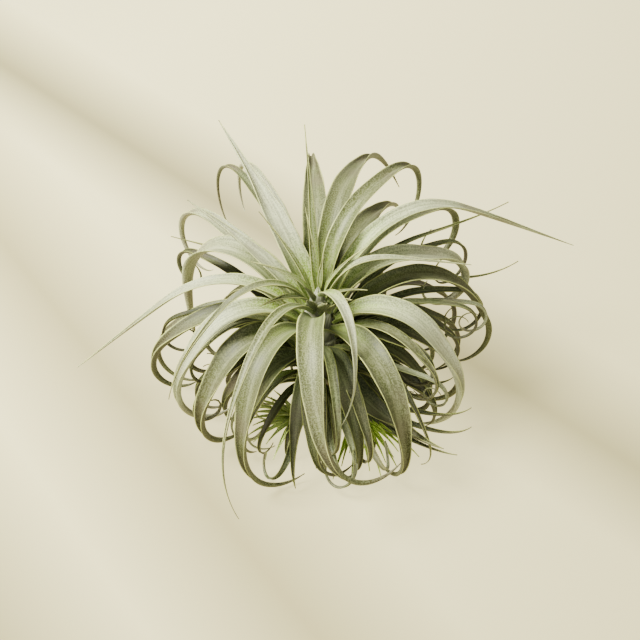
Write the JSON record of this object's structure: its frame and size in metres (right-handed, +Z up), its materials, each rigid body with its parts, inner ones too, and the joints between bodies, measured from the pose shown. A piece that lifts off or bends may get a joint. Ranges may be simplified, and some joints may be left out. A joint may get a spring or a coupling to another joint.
{
  "type": "air plant",
  "caption": "Rootless air plant: a dense rosette of long channelled silver-green leaves that arch over and curl under, with small green pups near its base.",
  "frame": {"origin": "middle of the stem's flat base, on the surface that the plant rests on", "axes": "+Z up along the stem, front towards -Y, +X to the right seen from the front"},
  "size_m": [0.3273, 0.2946, 0.1794],
  "materials": {
    "stem_bark": "rough, dry",
    "silver_leaf": "matte with silvery scales",
    "young_leaf": "matte",
    "olive_leaf": "matte",
    "mauve_leaf": "matte",
    "dry_leaf": "dry, rough",
    "pup_leaf": "satin"
  },
  "bodies": {
    "root": {"stem": "stem_bark", "leaf_crown_b": "young_leaf", "leaf_crown_c": "young_leaf", "leaf_crown_d": "young_leaf", "leaf_crown_e": "young_leaf", "leaf_spear_left": "silver_leaf", "leaf_spear_side": "silver_leaf", "leaf_spear_mid": "young_leaf", "leaf_arch_back_a": "silver_leaf", "leaf_arch_back_b": "silver_leaf", "leaf_back_mid": "silver_leaf", "leaf_back_left": "silver_leaf", "leaf_back_right": "silver_leaf", "leaf_whip_right": "silver_leaf", "leaf_hook_right": "silver_leaf", "leaf_slim_right": "silver_leaf", "leaf_arm_right_a": "silver_leaf", "leaf_arm_right_b": "silver_leaf", "leaf_arm_right_c": "silver_leaf", "leaf_arm_right_d": "silver_leaf", "leaf_ring_right": "olive_leaf", "leaf_far_right": "olive_leaf", "leaf_low_right": "olive_leaf", "leaf_mauve_curl": "mauve_leaf", "leaf_front_right": "silver_leaf", "leaf_front_slim": "silver_leaf", "leaf_front_white": "silver_leaf", "leaf_front_main": "silver_leaf", "leaf_front_low_a": "olive_leaf", "leaf_front_low_b": "olive_leaf", "leaf_front_left": "silver_leaf", "leaf_whip_front": "silver_leaf", "leaf_front_broad": "olive_leaf", "leaf_front_curl": "olive_leaf", "leaf_front_mid": "olive_leaf", "leaf_front_side": "olive_leaf", "leaf_right_fill": "olive_leaf", "leaf_left_second": "olive_leaf", "leaf_left_low_a": "silver_leaf", "leaf_left_low_b": "silver_leaf", "leaf_slim_left": "silver_leaf", "leaf_left_mid": "silver_leaf", "leaf_whip_left": "silver_leaf", "leaf_left_arm": "silver_leaf", "leaf_left_broad": "silver_leaf", "leaf_left_hook": "silver_leaf", "leaf_left_loop": "olive_leaf", "leaf_left_hang": "olive_leaf", "leaf_left_bottom": "olive_leaf", "leaf_rear_a": "olive_leaf", "leaf_rear_b": "olive_leaf", "leaf_rear_c": "olive_leaf", "leaf_rear_d": "olive_leaf", "leaf_under_a": "olive_leaf", "leaf_under_b": "olive_leaf", "leaf_under_c": "olive_leaf", "leaf_brown": "dry_leaf", "pup_left": "pup_leaf", "pup_right": "pup_leaf"}
  },
  "joints": []
}
